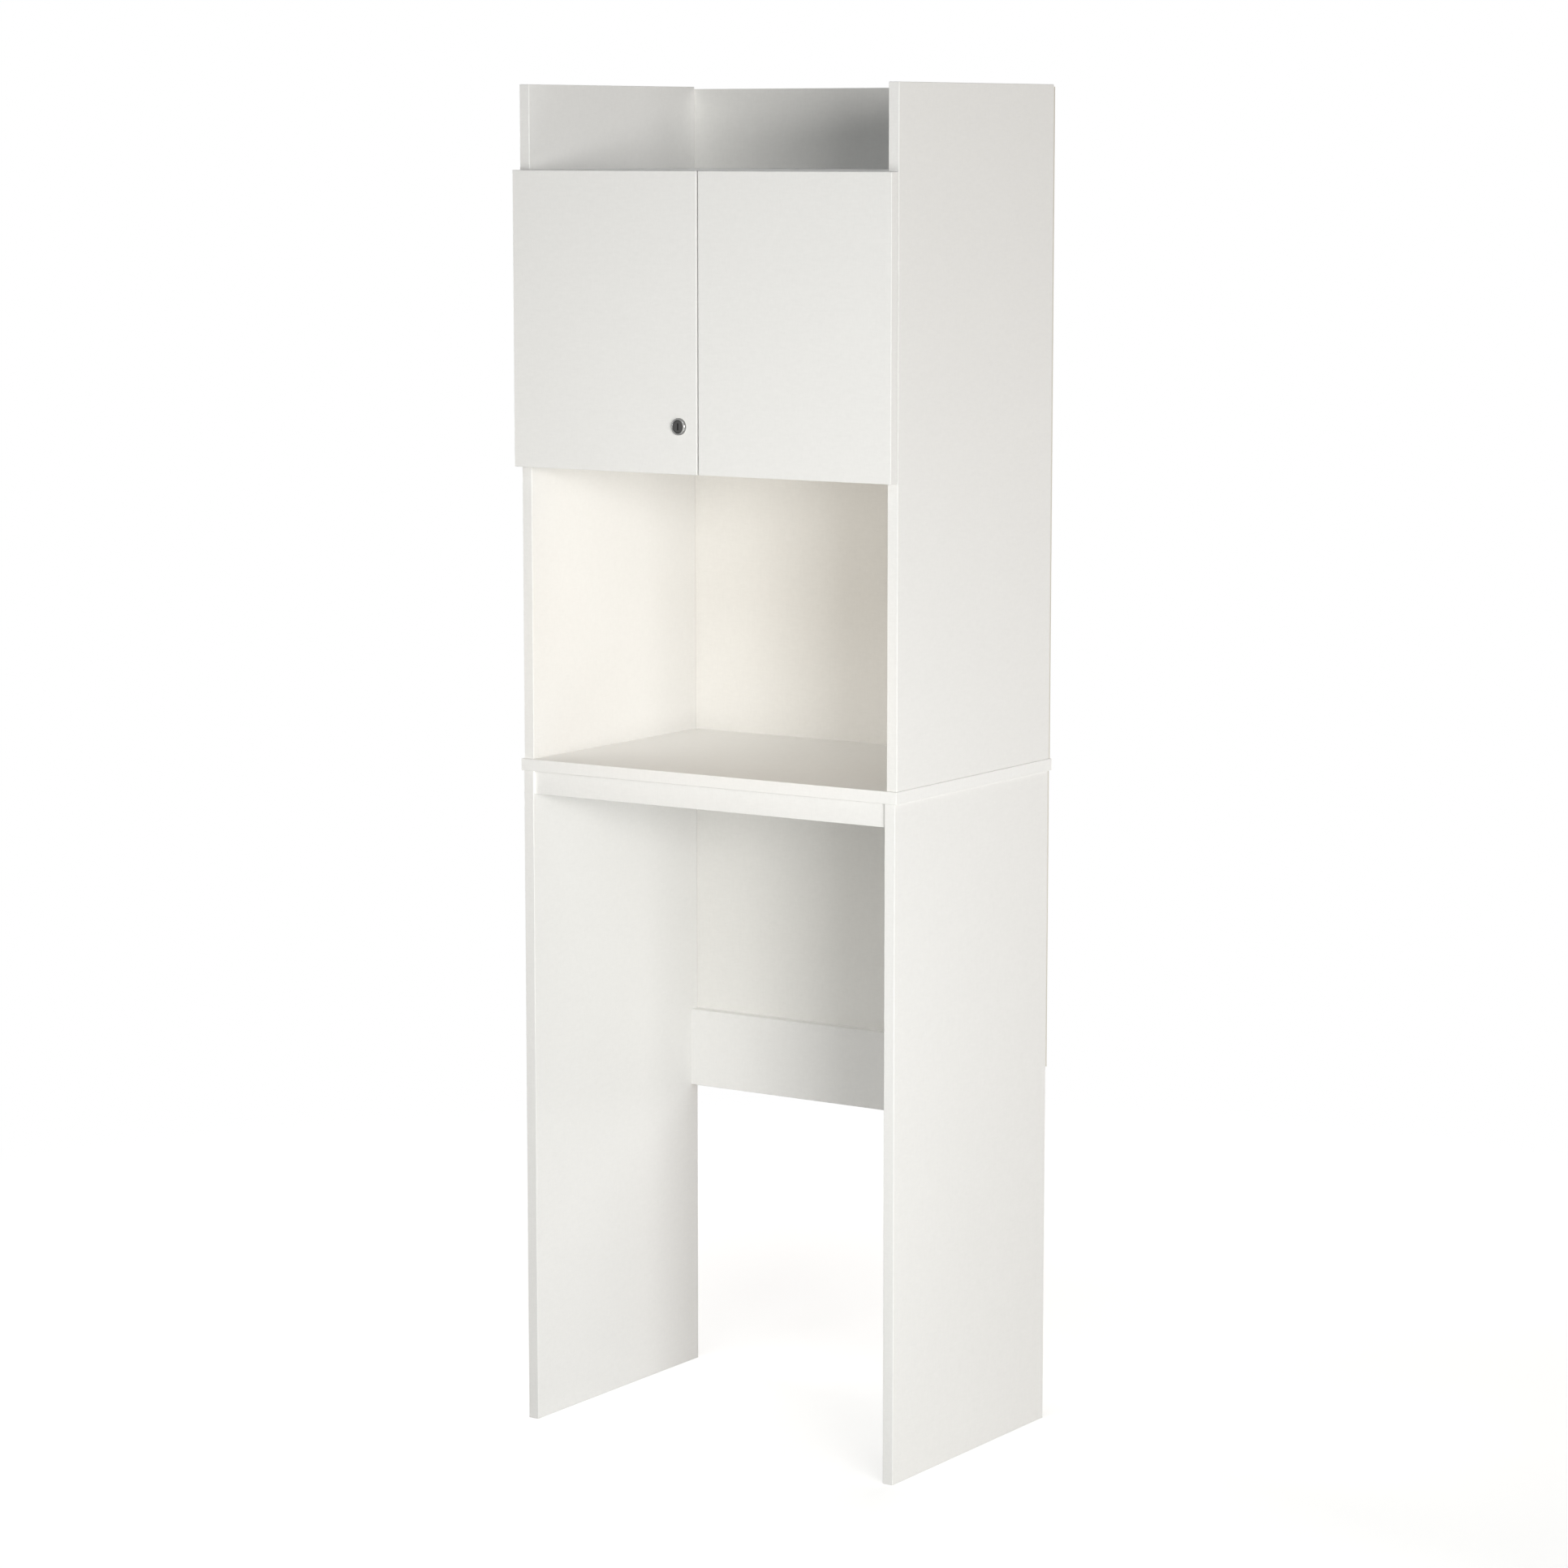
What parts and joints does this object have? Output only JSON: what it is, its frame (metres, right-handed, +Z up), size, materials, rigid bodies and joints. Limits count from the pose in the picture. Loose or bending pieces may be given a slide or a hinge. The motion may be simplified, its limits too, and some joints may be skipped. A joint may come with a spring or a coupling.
{
  "type": "mini fridge cabinet",
  "caption": "Tall free-standing white cabinet: an open base that stands over a small refrigerator, a worktop, an open oven bay, a locked cupboard with plain doors, and a top tray.",
  "frame": {"origin": "on the floor, under the middle of the cabinet's outline", "axes": "+Z up, -Y to the front with the doors, +X to the right as one faces the doors"},
  "size_m": [0.6042, 0.4162, 1.8365],
  "materials": {
    "white_board": "white laminated particle board, fine satin texture",
    "white_hardboard": "white-faced hardboard with a bare brown edge",
    "beech": "bare beech",
    "zinc_casting": "die-cast zinc",
    "zinc_plate": "bright zinc plate",
    "nickel_plate": "nickel-plated pressed steel",
    "lock_chrome": "chrome-plated die casting",
    "bolt_plastic": "moulded white plastic",
    "bolt_steel": "bright zinc-plated rod",
    "bumper_rubber": "clear soft rubber dot"
  },
  "bodies": {
    "cabinet": {"base_left_side": "white_board", "base_right_side": "white_board", "front_rail": "white_board", "back_rail": "white_board", "worktop": "white_board", "hutch_left_side": "white_board", "hutch_right_side": "white_board", "cabinet_bottom": "white_board", "cabinet_top": "white_board", "adjustable_shelf": "white_board", "base_back_panel": "white_hardboard", "hutch_back_panel": "white_hardboard", "dowels": "beech", "cam_fittings": "zinc_casting", "cam_bolts": "zinc_plate", "worktop_screws": "zinc_plate", "back_panel_nails": "zinc_plate", "shelf_pins": "zinc_plate", "plate_screws": "zinc_plate", "arm_screws": "zinc_plate", "lock_strike": "zinc_plate", "lock_strike_screws": "zinc_plate", "left_hinge_arms": "nickel_plate", "right_hinge_arms": "nickel_plate", "left_hinge_plates": "nickel_plate", "right_hinge_plates": "nickel_plate", "hinge_arm_pins": "nickel_plate"},
    "left_outer_links": {"left_outer_links": "nickel_plate"},
    "left_door": {"left_door": "white_board", "left_door_bumpers": "bumper_rubber", "left_hinge_cups": "nickel_plate", "left_cup_pins": "nickel_plate", "left_cup_screws": "zinc_plate", "lock_housing": "lock_chrome", "lock_nut": "zinc_plate"},
    "left_inner_links": {"left_inner_links": "nickel_plate"},
    "right_outer_links": {"right_outer_links": "nickel_plate"},
    "right_door": {"right_door": "white_board", "right_door_bumpers": "bumper_rubber", "right_hinge_cups": "nickel_plate", "right_cup_pins": "nickel_plate", "right_cup_screws": "zinc_plate", "bolt_housing": "bolt_plastic", "bolt_screws": "zinc_plate"},
    "right_inner_links": {"right_inner_links": "nickel_plate"},
    "lock_cylinder": {"lock_plug": "lock_chrome", "lock_cam": "zinc_plate", "lock_cam_screw": "zinc_plate"},
    "bolt": {"bolt_rod": "bolt_steel"}
  },
  "joints": [
    {"name": "left_outer_link_swing", "type": "hinge", "parent": "cabinet", "child": "left_outer_links", "pos_m": [-0.2661, -0.17398, 1.5254], "axis": [0, 0, -1], "range_deg": [-38, 0.5]},
    {"name": "left_door_swing", "type": "hinge", "parent": "left_outer_links", "child": "left_door", "pos_m": [-0.29128, -0.18951, 1.5254], "axis": [0, 0, -1], "range_deg": [0, 137.5]},
    {"name": "left_inner_link_swing", "type": "hinge", "parent": "left_door", "child": "left_inner_links", "pos_m": [-0.29062, -0.19231, 1.5254], "axis": [0, 0, -1], "range_deg": [-168.5, 0.5]},
    {"name": "right_outer_link_swing", "type": "hinge", "parent": "cabinet", "child": "right_outer_links", "pos_m": [0.2661, -0.17398, 1.5254], "axis": [0, 0, 1], "range_deg": [-38, 0.5]},
    {"name": "right_door_swing", "type": "hinge", "parent": "right_outer_links", "child": "right_door", "pos_m": [0.29128, -0.18951, 1.5254], "axis": [0, 0, 1], "range_deg": [0, 137.5]},
    {"name": "right_inner_link_swing", "type": "hinge", "parent": "right_door", "child": "right_inner_links", "pos_m": [0.29062, -0.19231, 1.5254], "axis": [0, 0, 1], "range_deg": [-168.5, 0.5]},
    {"name": "lock_turn", "type": "hinge", "parent": "left_door", "child": "lock_cylinder", "pos_m": [-0.0296, -0.1888, 1.3888], "axis": [0, -1, 0], "range_deg": [0, 90]},
    {"name": "bolt_slide", "type": "slide", "parent": "right_door", "child": "bolt", "axis": [0, 0, -1], "range_m": [0, 0.012]}
  ],
  "couplings": [
    {"joint": "left_outer_link_swing", "follows": "left_door_swing", "ratio": -0.27273},
    {"joint": "left_inner_link_swing", "follows": "left_door_swing", "ratio": -1.2218},
    {"joint": "right_outer_link_swing", "follows": "right_door_swing", "ratio": -0.27273},
    {"joint": "right_inner_link_swing", "follows": "right_door_swing", "ratio": -1.2218}
  ]
}
